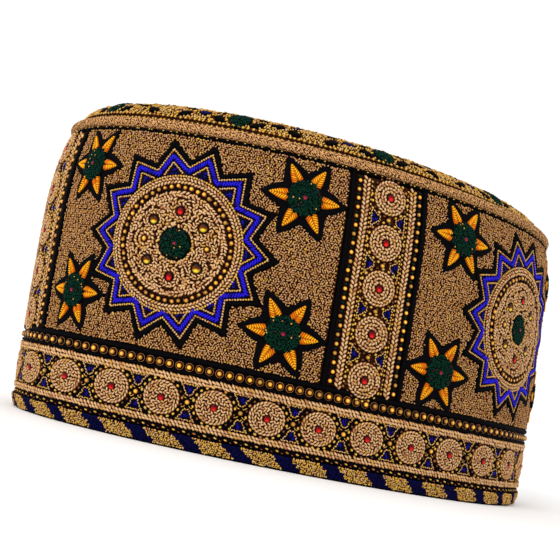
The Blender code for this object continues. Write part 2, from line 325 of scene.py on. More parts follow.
def makeCloth(name, dark, pale, pitch, roughness):
    tree, shader, marks = newMaterial(name)
    rib = addNode(tree, "TexWave", {"Vector": marks["run"], "Scale": waveScale / pitch, "Distortion": 2.2,
                                    "Detail": 2.0, "Detail Scale": 1.5}, "Fac",
                  bands_direction="DIAGONAL")
    grain = addNode(tree, "TexNoise", {"Vector": marks["run"], "Scale": 1.4 / pitch, "Detail": 1.0,
                                       "Roughness": 0.6}, "Fac")
    weave = addNode(tree, "Mix", {"Factor": 0.88, "A": rib, "B": grain}, "Result", data_type="FLOAT")
    colour = setRamp(addNode(tree, "ValToRGB", {"Fac": weave}, "Color"), [(0.42, dark), (0.59, pale)])
    bump = addNode(tree, "Bump", {"Height": weave, "Strength": 0.7, "Distance": 0.2 * mm}, "Normal")
    setInputs(tree, shader, {"Base Color": colour, "Normal": bump, "Roughness": roughness,
                             "Specular IOR Level": 0.05})


# The colours round a bead's base, painted dark as shade, on its back, and in the painted highlight on the
# spot that faces out, then roughness and gloss
beadLooks = {
    # brass beads, pressed and lacquered: warm gold, with painted brown shade at its edge and a painted pale
    # highlight
    brass: ("#1A0702", "#B8660A", "#FFCE38", 0.3, 0.3),
    # waxed brown seed beads: dull, with a small painted glint
    seed: ("#0C0302", "#6E3410", "#B87838", 0.4, 0.2),
}


def makeBead(name, foot, back, glint, roughness, gloss):
    tree, shader, marks = newMaterial(name)
    # painted shade round each bead's base and a painted highlight on its top, by its rise
    colour = setRamp(addNode(tree, "ValToRGB", {"Fac": marks["rise"]}, "Color"),
                     [(0.7, foot), (0.87, back), (0.985, glint)])
    # some beads are tarnished
    shade = addNode(tree, "MapRange", {"Value": marks["tint"], "To Min": 0.48, "To Max": 1.25}, "Result")
    varied = addNode(tree, "HueSaturation", {"Color": colour, "Value": shade}, "Color")
    setInputs(tree, shader, {"Base Color": varied, "Roughness": roughness, "Specular IOR Level": gloss})


# Painted light in a stone: the painted reflection of the foil low in it, its own colour, the painted shade
# above, and its painted dark rim
glassLooks = {
    # cut glass over foil: painted dark above and at its rim, with a painted reflection of light from below
    "redGlassCut": ("#F4281E", "#A6080C", "#340205", "#140102"),
    "pinkGlassCut": ("#D03A58", "#8E1632", "#4A0A18", "#240408"),
    "amberGlassCut": ("#FFDA38", "#7A3C06", "#1C0A02", "#0A0301"),
}


def makeGlass(name, bright, body, deep, rim):
    tree, shader, marks = newMaterial(name)
    upward = addNode(tree, "SeparateXYZ", {"Vector": marks["run"]}, "Y")
    # facets are drawn 1 mm wide
    facet = addNode(tree, "TexNoise", {"Vector": marks["run"], "Scale": 1.0, "Detail": 0.0}, "Fac")
    lit = addNode(tree, "Math", {0: upward, 1: facet}, "Value", operation="SUBTRACT")
    height = addNode(tree, "MapRange", {"Value": lit, "From Min": -1.7, "From Max": 0.6}, "Result")
    # painted reflection of the foil low in the stone and painted shade above
    heart = setRamp(addNode(tree, "ValToRGB", {"Fac": height}, "Color"),
                    [(0.1, bright), (0.42, body), (0.9, deep)])
    # painted shade round the stone's rim, where it turns away
    edge = addNode(tree, "MapRange", {"Value": marks["rise"], "From Min": 0.94, "From Max": 0.74}, "Result")
    colour = addNode(tree, "Mix", {"Factor": edge, "A": heart, "B": linear(rim)}, "Result",
                     data_type="RGBA")
    setInputs(tree, shader, {"Base Color": colour, "Roughness": 0.15, "Specular IOR Level": 0.07,
                             "IOR": 1.52})


for make, looks in ((makeThread, threadLooks), (makeCloth, clothLooks), (makeBead, beadLooks),
                    (makeGlass, glassLooks)):
    for name, look in looks.items():
        make(name, *look)
print("finishes ready:", len(finishes))


# Drawing: a drawing gathers points, faces and their colours until it is laid on the cap

def addShape(drawing, points, faces, uv, tint, rise, finish):
    if finish not in drawing["finishNames"]:
        drawing["finishNames"].append(finish)
    drawing["points"].append(points)
    drawing["faces"].append(faces + drawing["count"])
    drawing["uv"].append(uv)
    drawing["tint"].append(np.broadcast_to(tint, len(points)))
    drawing["rise"].append(np.broadcast_to(rise, len(points)))
    drawing["finish"].append(np.full(len(faces), drawing["finishNames"].index(finish)))
    drawing["count"] += len(points)


def arraysOf(bm):
    bmesh.ops.triangulate(bm, faces=bm.faces)
    bm.verts.index_update()
    points = np.array([vert.co[:] for vert in bm.verts])
    faces = np.array([[vert.index for vert in face.verts] for face in bm.faces])
    bm.free()
    return points, faces


def stitchShape():
    bm = bmesh.new()
    bmesh.ops.create_icosphere(bm, subdivisions=1, radius=1.0)
    bmesh.ops.rotate(bm, verts=bm.verts, cent=(0, 0, 0), matrix=Matrix.Rotation(math.radians(31.7), 3, "Y"))
    return arraysOf(bm)


def beadShape(sides, rings):
    bm = bmesh.new()
    bmesh.ops.create_uvsphere(bm, u_segments=sides, v_segments=rings, radius=1.0)
    return arraysOf(bm)


stitch = stitchShape()
bead = beadShape(8, 5)
stone = beadShape(14, 10)


def gridArrays(columns, rows):
    bm = bmesh.new()
    bmesh.ops.create_grid(bm, x_segments=columns, y_segments=rows, size=0.5)
    points, faces = arraysOf(bm)
    column = np.rint((points[:, 0] + 0.5) * columns).astype(int)
    row = np.rint((points[:, 1] + 0.5) * rows).astype(int)
    return column, row, faces


# Copies of one small shape, each at its own spot, turned and stretched
def stamp(drawing, shape, spots, z, turn, size, finish, tint=None):
    points, faces = shape
    spots = np.atleast_2d(spots)
    count = len(spots)
    if count == 0:
        return
    place = np.column_stack([spots, np.broadcast_to(z, count)])
    turn = np.broadcast_to(turn, count)[:, None]
    local = points[None] * np.broadcast_to(size, (count, 3))[:, None]
    turned = np.stack([local[..., 0] * np.cos(turn) - local[..., 1] * np.sin(turn),
                       local[..., 0] * np.sin(turn) + local[..., 1] * np.cos(turn),
                       local[..., 2]], axis=-1)
    if tint is None:
        tint = chance.random(count)
    copies = faces[None] + (np.arange(count) * len(points))[:, None, None]
    # each copy's rise is its own height, 0 to 1, on which the finishes paint shade at the foot and
    # highlight on the back
    addShape(drawing, (turned + place[:, None]).reshape(-1, 3), copies.reshape(-1, 3),
             local[..., :2].reshape(-1, 2), np.repeat(np.broadcast_to(tint, count), len(points)),
             np.tile(points[:, 2] * 0.5 + 0.5, count), finish)


lineThreads = {gilt: 0.5, braided: 0.5}
groundThreads = {ground: 0.955, gilt: 0.045}
speckThreads = {"pinkGlassCut": 0.5, gilt: 0.5}
pileThreads = {chenille: 0.46, gilt: 0.34, braided: 0.2}


# Stitches that are each in one of several threads; shares says how many of each
def stampMixed(drawing, spots, z, turn, size, shares):
    count = len(spots)
    z, turn = np.broadcast_to(z, count), np.broadcast_to(turn, count)
    size = np.broadcast_to(size, (count, 3))
    pick = np.searchsorted(np.cumsum(list(shares.values())), chance.random(count) * sum(shares.values()))
    for number, finish in enumerate(shares):
        kept = pick == number
        stamp(drawing, stitch, spots[kept], z[kept], turn[kept], size[kept], finish)


# Values or spots that are each off by chance, as in hand work
def loose(values, spread, count=None):
    if np.ndim(values) == 2:
        return values + chance.normal(0, spread, values.shape[::-1]).T
    return values + chance.normal(0, spread, len(values) if count is None else count)


# One size in many, each between low and low + more of it
def sizes(count, low, more, size):
    return np.outer(low + more * chance.random(count), size)


# The places of a staggered grid: every other row is half a step along
def staggered(columns, rows):
    column, row = [side.ravel() for side in np.meshgrid(np.arange(columns), np.arange(rows))]
    return column + 0.5 * (row % 2), row


# Points at equal steps along a path, and the way it heads there
def evenPath(path, step, closed=True):
    path = np.asarray(path, float)
    if closed:
        path = np.vstack([path, path[:1]])
    run = np.concatenate([[0.0], np.cumsum(np.hypot(*np.diff(path, axis=0).T))])
    count = max(2, round(run[-1] / step))
    at = (np.arange(count) + 0.5) * run[-1] / count
    point = np.stack([np.interp(at, run, path[:, 0]), np.interp(at, run, path[:, 1])], axis=-1)
    piece = np.clip(np.searchsorted(run, at) - 1, 0, len(path) - 2)
    way = np.diff(path, axis=0)[piece]
    return point, np.arctan2(way[:, 1], way[:, 0])


# Adds points to a path's straight stretches, so that it can follow the cap
def finePath(path, step, closed=True):
    path = np.asarray(path, float)
    ends = np.vstack([path[1:], path[:1]]) if closed else path[1:]
    fine = []
    for start, end in zip(path, ends):
        parts = max(1, math.ceil(np.hypot(*(end - start)) / step))
        fine += [start + (end - start) * part / parts for part in range(parts)]
    if not closed:
        fine.append(path[-1])
    return np.array(fine)


cordSection = np.array([(-1, 0), (-0.8, 0.62), (-0.3, 1), (0.3, 1), (0.8, 0.62), (1, 0)])
flatSection = np.array([(-1, 0), (-1, 0.7), (-0.97, 1), (0.97, 1), (1, 0.7), (1, 0)])


# A cord or flat band laid along a path, mitred at its corners
def ribbon(drawing, path, width, foot, height, finish, closed=True, section=cordSection,
           capped=True, tint=0.5, step=3.0):
    path = finePath(path, step, closed)
    before = path - np.roll(path, 1, axis=0)
    after = np.roll(path, -1, axis=0) - path
    if not closed:
        before[0], after[-1] = after[0], before[-1]
    before /= np.linalg.norm(before, axis=1, keepdims=True)
    after /= np.linalg.norm(after, axis=1, keepdims=True)
    sideBefore = np.stack([-before[:, 1], before[:, 0]], axis=-1)
    sideAfter = np.stack([-after[:, 1], after[:, 0]], axis=-1)
    side = (sideBefore + sideAfter) / (1 + np.sum(sideBefore * sideAfter, axis=1, keepdims=True))
    run = np.concatenate([[0.0], np.cumsum(np.hypot(*np.diff(path, axis=0).T))])
    scale = np.ones(len(path))
    if closed:
        path, side = np.vstack([path, path[:1]]), np.vstack([side, side[:1]])
        run = np.append(run, run[-1] + np.hypot(*(path[-1] - path[-2])))
        scale = np.append(scale, 1.0)
    elif capped:
        path, side = np.vstack([path[:1], path, path[-1:]]), np.vstack([side[:1], side, side[-1:]])
        run = np.concatenate([run[:1], run, run[-1:]])
        scale = np.concatenate([[0.0], scale, [0.0]])
    column, row, faces = gridArrays(len(path) - 1, len(section))
    across, up = section[row % len(section)].T
    across = across * scale[column] * width / 2
    up = np.where(scale[column] > 0, up, 0.5)
    flat = path[column] + side[column] * across[:, None]
    points = np.column_stack([flat, foot + up * height])
    # rise is the height in the section, for painted shade at the foot and painted highlight on top
    addShape(drawing, points, faces, np.column_stack([run[column], across]), tint, up, finish)


def lineAround(height):
    return [(0.0, height), (around, height)]


# A ribbon that runs right round the cap
def hoop(drawing, height, width, foot, thick, finish, section=cordSection):
    ribbon(drawing, lineAround(height), width, foot, thick, finish, closed=False, capped=False,
           section=section)


# A flat or domed patch inside a closed edge. Its wall stands on foot, and levels are
# (share of the way out, height), from the wall's top to the middle
def plate(drawing, edge, middle, foot, levels, finish, turn=0.0, rise=None):
    levels = np.array([(0, foot), (1, foot)] + levels, float)
    column, row, faces = gridArrays(len(edge), len(levels) - 1)
    out = (np.asarray(edge)[column % len(edge)] - middle) * levels[row, :1]
    low, high = levels[:, 1].min(), levels[:, 1].max()
    uv = np.column_stack([out[:, 0] * math.cos(turn) + out[:, 1] * math.sin(turn),
                          out[:, 1] * math.cos(turn) - out[:, 0] * math.sin(turn)])
    points = np.column_stack([out + middle, levels[row, 1]])
    # by default rise follows height, so the finishes paint shade at the wall's foot and highlight on top
    if rise is None:
        rise = (levels[row, 1] - low) / (high - low)
    addShape(drawing, points, faces, uv, 0.5, rise, finish)


def ringPath(middle, radius, angle, squash=1.0):
    return np.column_stack([middle[0] + radius * np.cos(angle),
                            middle[1] + radius * squash * np.sin(angle)])


def circlePath(middle, radius, steps, squash=1.0):
    return ringPath(middle, radius, np.arange(steps) * 2 * math.pi / steps, squash)


def starPath(middle, tip, valley, points):
    corner = np.arange(2 * points)
    return ringPath(middle, np.where(corner % 2, valley, tip), corner * math.pi / points)


# Whether spots are outside a star
def clearOfStar(spots, middle, tip, valley, points):
    x, y = (spots - middle).T
    part = math.pi / points
    phase = np.abs(np.mod(np.arctan2(y, x) + part, 2 * part) - part)
    edge = tip * valley * math.sin(part) / (tip * np.sin(phase) + valley * np.sin(part - phase))
    return np.hypot(x, y) > edge


# The way out at a bearing, and the way across it
def heading(turn):
    out = np.array([math.cos(turn), math.sin(turn)])
    return out, np.array([-out[1], out[0]])


# Chain stitches are as long, wide and high as these shares of their pitch and line width
chainShares = (0.62, 0.5, 0.45)


def chainSize(pitch, width):
    return pitch * chainShares[0], width * chainShares[1], width * chainShares[2]


def leftAndRight(count, degrees):
    return np.radians(degrees) * np.where(np.arange(count) % 2, 1, -1)


# A line of chain stitches in two threads, taken at random
def mixedLine(drawing, path, pitch, width, z, closed=True):
    point, way = evenPath(path, pitch, closed)
    lean = loose(leftAndRight(len(way), 30), 0.2)
    stampMixed(drawing, point, z, way + lean, chainSize(pitch, width), lineThreads)


# How two rows of strands lie side by side. In a braid they meet, and in a flat rope they slant the
# same way. Sizes are shares of the width (apart, long) or pitch (wide), or in mm
plaitLooks = {
    "braid": {"apart": 0.23, "astray": 0.06, "lift": 0.0, "uneven": 0.08, "slants": (-36, 36),
              "wander": 0.14, "long": 0.38, "wide": 0.38, "high": 0.5},
    "rope": {"apart": 0.2, "astray": 0.08, "lift": 0.06, "uneven": 0.1, "slants": (-34, -34),
             "wander": 0.2, "long": 0.45, "wide": 0.4, "high": 0.55},
}


def plait(drawing, kind, path, width, pitch, z, closed=True):
    look = plaitLooks[kind]
    for start, side in enumerate((-1, 1)):
        point, way = [part[start::2] for part in evenPath(path, pitch / 2, closed)]
        off = loose(side * width * look["apart"], look["astray"], len(way))
        spots = point + np.column_stack([-np.sin(way) * off, np.cos(way) * off])
        stamp(drawing, stitch, spots, loose(z + side * look["lift"], look["uneven"], len(way)),
              loose(way + math.radians(look["slants"][start]), look["wander"]),
              (max(pitch * 0.7, width * look["long"]), pitch * look["wide"], look["high"]), braided)


# A rosette of coiled plait: rings of strands that slant one way and then the other
def coil(drawing, middle, inner, outer, gap, z, squash=1.0, pitch=1.2, slant=36):
    rings = max(1, round((outer - inner) / gap))
    gap = (outer - inner) / rings
    for ring in range(rings):
        side = 1 if ring % 2 else -1
        point, way = evenPath(circlePath(middle, inner + (ring + 0.5) * gap, 48, squash), pitch)
        stamp(drawing, stitch, loose(point, 0.09), loose(z, 0.1, len(way)),
              loose(way + side * math.radians(slant), 0.2), (pitch * 0.78, gap * 0.4, 0.5), braided)


# A domed patch of small knots, with a few specks of another thread
def knots(drawing, middle, radius, z, specks, size=0.85):
    reach = int(radius / size) + 1
    row, column = [side.ravel() for side in np.meshgrid(*[np.arange(-reach, reach + 1)] * 2)]
    x = loose((column + 0.5 * (row % 2)) * size, 0.16 * size)
    y = loose(row * size * 0.87, 0.16 * size)
    out = np.hypot(x, y)
    inside = out < radius - 0.55 * size
    spots = middle + np.column_stack([x, y])[inside]
    dome = loose(z + 0.4 * (1 - (out[inside] / radius) ** 2), 0.06)
    plate(drawing, circlePath(middle, radius, 32), middle, z - 0.5,
          [(1, z - 0.25), (0.9, z + 0.05), (0.5, z + 0.3), (0, z + 0.4)], green, rise=0.5)
    stamp(drawing, stitch, spots, dome, chance.random(len(spots)) * math.pi,
          sizes(len(spots), 0.85, 0.3, (size * 0.72, size * 0.48, size * 0.5)), green)
    picked = chance.choice(len(spots), specks, replace=False)
    stampMixed(drawing, spots[picked], dome[picked] + 0.3, chance.random(specks) * math.pi,
               (0.38, 0.26, 0.2), speckThreads)


# Draws a piece flat, lays it on the cap, links it into the scene under the root and hides the parts it
# replaces
def makePiece(name, lay, slotName, replaced, draw, *details):
    drawing = {"points": [], "faces": [], "uv": [], "tint": [], "rise": [], "finish": [], "count": 0,
               "finishNames": []}
    draw(drawing, *details)
    points, faces, uv, tint, rise, finish = [
        np.concatenate(drawing[key]) for key in ("points", "faces", "uv", "tint", "rise", "finish")]
    mesh = bpy.data.meshes.new(name)
    mesh.from_pydata((lay(points) * mm).tolist(), [], faces.tolist())
    run = mesh.uv_layers.new(name="stitchRun")
    run.data.foreach_set("uv", uv[faces.ravel()].astype(np.float32).ravel())
    for key, values in (("tint", tint), ("rise", rise)):
        mesh.attributes.new(key, "FLOAT", "POINT").data.foreach_set("value", values.astype(np.float32))
    mesh.polygons.foreach_set("material_index", finish.astype(np.int32))
    for finishName in drawing["finishNames"]:
        mesh.materials.append(finishes[finishName])
    bm = bmesh.new()
    bm.from_mesh(mesh)
    bmesh.ops.remove_doubles(bm, verts=bm.verts, dist=0.002 * mm)
    bmesh.ops.recalc_face_normals(bm, faces=bm.faces)
    bm.to_mesh(mesh)
    bm.free()
    mesh.shade_smooth()
    piece = bpy.data.objects.new(name, mesh)
    bpy.context.scene.collection.objects.link(piece)
    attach(piece, "root")
    if replaced:
        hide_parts(*replaced)
    print(name, len(mesh.polygons), "faces")


# A closed wall of quilted cotton: rows up its outside, over its edge and down its lined inside
def drawShell(drawing, form, place):
    rowsOut = form["rows"]
    rows = 2 * rowsOut + 2
    column, row, faces = gridArrays(form["columns"], rows)
    level = np.maximum(np.where(row <= rowsOut, row, rows - 1 - row), 0)
    across, up = place(column % form["columns"], level)
    proud = np.where((row <= rowsOut) | (row == rows), form["face"], form["inside"])
    addShape(drawing, np.column_stack([across, up, proud]), faces, np.column_stack([across, up]), 0.5, 0.5,
             woven)
    faceRow = row[faces].max(axis=1)
    drawing["finishNames"].append(lining)
    drawing["finish"][0] = np.where((faceRow > rowsOut + 1) & (faceRow < rows), 1, 0)


# Band cloth: brown outside and lining cotton inside

clothForm = {"bottom": 5.4, "top": 104.3, "face": 0.4, "inside": -2.4, "columns": 240, "rows": 30}


def placeOnBand(column, row):
    share = row / clothForm["rows"]
    return (column * around / clothForm["columns"],
            clothForm["bottom"] + (clothForm["top"] - clothForm["bottom"]) * share)


makePiece("bandCloth", ontoBand, "ground_stitch", ["side_wall"], drawShell, clothForm, placeOnBand)


# Stars: one in the middle of each panel

starForm = {
    "height": 66.7, "points": 14,
    "blackTip": 34.2, "blackValley": 26.9, "blackWidth": 2.05,
    "tanTip": 31.9, "tanValley": 25.4,
    "blueTip": 29.4, "blueValley": 23.8, "blueWidth": 2.1, "strandPitch": 0.92, "strandSlant": 50,
    "innerTip": 27.2, "innerValley": 22.8, "innerHalf": 3.4,
    "navyTip": 26.2, "navyFoot": 22.9, "navyHalf": 2.2,
    "ring": 21.3, "ringWidth": 2.5, "mixedRing": 1.65, "beadRing": 19.0, "beads": 50, "beadSize": 1.75,
    "field": 17.9, "fieldGap": 1.0, "fieldPitch": 1.08, "stoneRing": 11.1, "stoneCoil": 3.9,
    "knotRadius": 5.5, "discDrop": -0.7,
}
# each stone's bearing, half width and half height
starStones = [(90, "redGlassCut", 1.3, 1.65), (270, "redGlassCut", 1.25, 1.75),
              (38, "amberGlassCut", 1.7, 1.8), (142, "amberGlassCut", 1.6, 1.8),
              (218, "amberGlassCut", 1.6, 1.75), (322, "amberGlassCut", 1.8, 1.9),
              (0, brass, 0.95, 0.9), (180, brass, 0.95, 1.1)]


# A navy patch, with a few strands of blue floss in it, brighter than the navy, with painted highlight on
# their backs
def drawNavyPatch(drawing, edge, heart, foot, top, strands, spread, turn=0.0):
    plate(drawing, edge, heart, foot, top, navy, turn=turn, rise=0.6)
    spots = heart + chance.normal(0, spread, (strands, 2))
    stamp(drawing, stitch, spots, 1.15, loose(turn + math.pi / 2, 0.3, strands), (0.75, 0.24, 0.25), blue,
          1.0)


def drawStarLines(drawing, middle, form):
    points = form["points"]
    outline = starPath(middle, form["blackTip"], form["blackValley"], points)
    plate(drawing, outline, middle, 0.3, [(1, 0.75), (0.98, 0.9), (0.5, 0.9), (0, 0.9)], woven)
    ribbon(drawing, outline, form["blackWidth"], 0.35, 1.3, blackCord)
    mixedLine(drawing, starPath(middle, form["tanTip"], form["tanValley"], points), 0.9, 0.75, 1.15)
    bluePath = starPath(middle, form["blueTip"], form["blueValley"], points)
    ribbon(drawing, bluePath, form["blueWidth"], 0.8, 0.5, navy)
    point, way = evenPath(bluePath, form["strandPitch"])
    stamp(drawing, stitch, point, 1.35, loose(way + math.radians(form["strandSlant"]), 0.12),
          (form["blueWidth"] * 0.62, 0.4, 0.55), blue)
    for number in range(points):
        turn = 2 * math.pi * number / points
        out, side = heading(turn)
        foot = middle + out * form["navyFoot"]
        corners = np.array([middle + out * form["navyTip"], foot + side * form["navyHalf"],
                            foot - side * form["navyHalf"]])
        drawNavyPatch(drawing, finePath(corners, 1.5), corners.mean(axis=0), 0.7,
                      [(1, 1.0), (0.8, 1.1), (0, 1.15)], 6, 0.75, turn)
        for hand in (-1, 1):
            end = middle + out * form["innerValley"] + side * hand * form["innerHalf"]
            mixedLine(drawing, [middle + out * form["innerTip"], end], 0.85, 0.65, 1.25, closed=False)


def drawStones(drawing, middle, form):
    spots = []
    for bearing, finish, wide, tall in starStones:
        spot = middle + form["stoneRing"] * heading(math.radians(bearing))[0]
        stamp(drawing, stone, spot, 1.2, 0.0, (wide, tall, 0.85), finish, 0.5)
        ribbon(drawing, circlePath(spot, (wide + tall) / 2 + 0.15, 20), 0.5, 0.9, 0.7, woven)
        spots.append((spot, (wide + tall) / 2 + 0.3))
    return spots


def drawStarDisc(drawing, middle, form):
    middle = middle + np.array([0.0, form["discDrop"]])
    plait(drawing, "braid", circlePath(middle, form["ring"], 96), form["ringWidth"], 1.25, 1.3)
    mixedLine(drawing, circlePath(middle, form["ring"] + form["mixedRing"], 96), 0.95, 0.9, 1.05)
    ribbon(drawing, circlePath(middle, form["beadRing"], 72), 2.1, 0.8, 0.25, umber, section=flatSection)
    beadPath = circlePath(middle, form["beadRing"], 96)
    beadPitch = 2 * math.pi * form["beadRing"] / form["beads"]
    point, way = evenPath(beadPath, beadPitch)
    size = form["beadSize"] / 2 * sizes(len(way), 0.82, 0.3, (1, 1, 0.8))
    stamp(drawing, bead, loose(point, 0.15), 1.25, way, size, brass, chance.random(len(way)) * 0.7)
    between, way = [part[0::2] for part in evenPath(beadPath, beadPitch / 2)]
    stamp(drawing, stitch, between, 1.3, way + math.pi / 2, (0.8, 0.45, 0.45), seed)
    spots = drawStones(drawing, middle, form)
    for spot, clear in spots:
        coil(drawing, spot, clear, form["stoneCoil"], 1.05, 1.35)
    # the rest of the field: rings round the middle, left out where the stones' coils are
    out = form["knotRadius"] + 0.6
    side = -1
    while out < form["field"]:
        point, way = evenPath(circlePath(middle, out, 96), form["fieldPitch"])
        free = np.all([np.hypot(*(point - spot).T) > form["stoneCoil"] + 0.35 for spot, clear in spots],
                      axis=0)
        count = int(free.sum())
        stamp(drawing, stitch, point[free] + chance.normal(0, 0.16, (count, 2)), loose(1.3, 0.08, count),
              loose(way[free] + side * math.radians(34), 0.4), sizes(count, 0.85, 0.35, (0.86, 0.45, 0.5)),
              braided)
        out += form["fieldGap"]
        side = -side
    knots(drawing, middle, form["knotRadius"], 1.45, 7)
    stamp(drawing, stone, middle, 2.0, 0.0, (0.8, 0.65, 0.4), "pinkGlassCut", 0.5)
    # a ring of loose gilt seeds round the knots
    point, way = evenPath(circlePath(middle, form["knotRadius"] + 0.9, 48), 3.1)
    stamp(drawing, stitch, loose(point, 0.5), 1.6, way, (0.62, 0.5, 0.45), gilt)


def drawStar(drawing, middle, form):
    drawStarLines(drawing, middle, form)
    drawStarDisc(drawing, middle, form)


for panel in range(capForm["panels"]):
    makePiece(f"starMedallion_{panel + 1}", ontoPanel, "star_satin", [f"star_{panel + 1}"], drawStar,
              np.array([(panel + 0.5) * panelWidth, starForm["height"]]), starForm)


# Flowers: six satin petals in a black edge, round a knotted green middle

flowerForm = {
    "aside": 40.6, "up": 22.8, "petals": 6, "edgeTip": 15.5, "edgeFoot": 5.6, "edgeHalf": 6.1,
    "edgeValley": 9.0, "petalTip": 12.5, "petalFoot": 5.9, "petalHalf": 2.7, "strand": 0.78,
    "strandSlant": 52, "knotRadius": 6.4,
}
# flowers that were sewn a little off their place, by panel and corner
flowerNudge = {(0, 0): (1.8, 1.2), (0, 1): (3.0, 0.0), (0, 2): (-1.2, -0.9), (0, 3): (3.0, 0.0),
               (3, 0): (-0.5, 0.0), (3, 2): (2.2, 1.0)}
flowerCorners = [(-1, 1), (1, 1), (-1, -1), (1, -1)]


# Half the width of a petal, or of its black edge, at shares of its length
def leafHalf(share, half):
    return half * np.clip(1 - share, 0, None) ** 0.82 * (1 - 0.25 * (1 - share) ** 3)


def leafEdge(middle, turn, foot, tip, half, steps):
    share = np.linspace(0, 1, steps)
    out, side = heading(turn)
    across = side * leafHalf(share, half)[:, None]
    ridge = middle + np.outer(foot + share * (tip - foot), out)
    return np.vstack([ridge - across, (ridge + across)[::-1][1:]])


def drawFlower(drawing, middle, form):
    petals = form["petals"]
    turns = [2 * math.pi * number / petals for number in range(petals)]
    edge = []
    for turn in turns:
        outline = leafEdge(middle, turn, form["edgeFoot"], form["edgeTip"], form["edgeHalf"], 14)
        bearing = np.arctan2(*(outline - middle).T[::-1]) - turn
        bearing = np.abs((bearing + math.pi) % (2 * math.pi) - math.pi)
        edge.append(outline[bearing < math.pi / petals - 0.01])
    plate(drawing, np.vstack(edge), middle, 0.3, [(1, 1.1), (0.96, 1.35), (0.6, 1.25), (0, 1.25)],
          blackCord)
    length = form["petalTip"] - form["petalFoot"]
    steps = round(length / form["strand"])
    share = (np.arange(steps) + 0.5) / steps
    half = leafHalf(share, form["petalHalf"])
    for turn in turns:
        out, side = heading(turn)
        plate(drawing, leafEdge(middle, turn, form["petalFoot"], form["petalTip"], form["petalHalf"], 9),
              middle + out * (form["petalFoot"] + 0.4 * length), 1.2, [(1, 1.4), (0.7, 1.5), (0, 1.55)],
              orange, turn=turn, rise=0.5)
        ridge = middle + np.outer(form["petalFoot"] + share * length, out)
        for hand in (-1, 1):
            spots = ridge + side * (hand * half * 0.48)[:, None] - out * 0.25
            # the petal's foot is deep orange and its tip yellow
            tint = np.clip(loose(1.1 - share * 1.3, 0.22), 0, 1)
            stamp(drawing, stitch, spots, 1.5,
                  loose(turn + hand * math.radians(form["strandSlant"]), 0.08, steps),
                  np.column_stack([half * 0.62 + 0.1, np.full(steps, 0.33), np.full(steps, 0.45)]),
                  orange, tint)
    knots(drawing, middle, form["knotRadius"], 1.85, 9)
    stamp(drawing, stone, middle, 2.4, 0.0, (0.9, 0.8, 0.4), "pinkGlassCut", 0.5)


def flowerMiddle(panel, number):
    aside, up = flowerCorners[number]
    nudge = flowerNudge.get((panel, number), (0, 0))
    return np.array([(panel + 0.5) * panelWidth + aside * flowerForm["aside"] + nudge[0],
                     starForm["height"] + up * flowerForm["up"] + nudge[1]])


for panel in range(capForm["panels"]):
    for number in range(len(flowerCorners)):
        makePiece(f"flower_{panel + 1}_{number + 1}_satin", ontoPanel, "flower_satin",
                  [f"flower_{panel + 1}_{number + 1}"], drawFlower, flowerMiddle(panel, number), flowerForm)


# Strips: upright bands of coiled rosettes between the panels

stripForm = {
    "half": 15.2, "cord": 14.15, "cordWidth": 2.2, "beadRow": 11.95, "beadPitch": 3.1, "beadSize": 1.8,
    "braid": 9.15, "braidWidth": 2.9, "braidPitch": 1.5, "seedRow": 7.15, "seedPitch": 1.6,
    "rosettes": 5, "rosetteLow": 34.6, "rosettePitch": 15.6, "coilInner": 1.5, "coilOuter": 6.1,
    "stoneWide": 1.3, "stoneTall": 1.55, "seedRing": 6.9, "seeds": 19,
    "cornerRadius": 7.7, "cornerLow": 3.1, "cornerHigh": 6.4,
}


def drawRosette(drawing, middle, form, squash=1.0):
    outer = form["coilOuter"]
    plate(drawing, circlePath(middle, outer + 0.2, 24, squash), middle, 0.8,
          [(1, 0.95), (0.9, 1.15), (0, 1.2)], woven)
    coil(drawing, middle, form["coilInner"], outer - 0.9, 1.1, 1.5, squash)
    point, way = evenPath(circlePath(middle, outer - 0.45, 48, squash), 1.3)
    stamp(drawing, stitch, point, 1.4, way + math.radians(24), (0.95, 0.46, 0.5), braided)
    stamp(drawing, stone, middle, 1.5, 0.0, (form["stoneWide"], form["stoneTall"], 0.7), "redGlassCut", 0.5)
    point, way = evenPath(circlePath(middle, form["seedRing"], 48, squash),
                          2 * math.pi * form["seedRing"] / form["seeds"])
    isGilt = chance.random(len(way)) < 0.6
    for finish, kept in ((gilt, isGilt), (seed, ~isGilt)):
        stamp(drawing, stitch, point[kept], 1.2, way[kept], (0.66, 0.52, 0.55), finish)


# A navy corner between two rosettes, with sides that follow them. across turns it on its side
def drawCorner(drawing, middle, half, form, hand, across):
    rows = np.linspace(form["cornerLow"], form["cornerHigh"], 6)
    width = half - np.sqrt(form["cornerRadius"] ** 2 - rows * rows)
    edge = np.vstack([np.column_stack([-width, rows]), np.column_stack([width, rows])[::-1]])
    if across:
        edge = edge[:, ::-1]
    edge = edge * (hand if across else 1, 1 if across else hand) + middle
    drawNavyPatch(drawing, finePath(edge, 1.4), edge.mean(axis=0), 0.8, [(1, 1.0), (0.85, 1.1), (0, 1.15)],
                  4, 0.6)
    mixedLine(drawing, edge, 0.95, 0.5, 1.15)


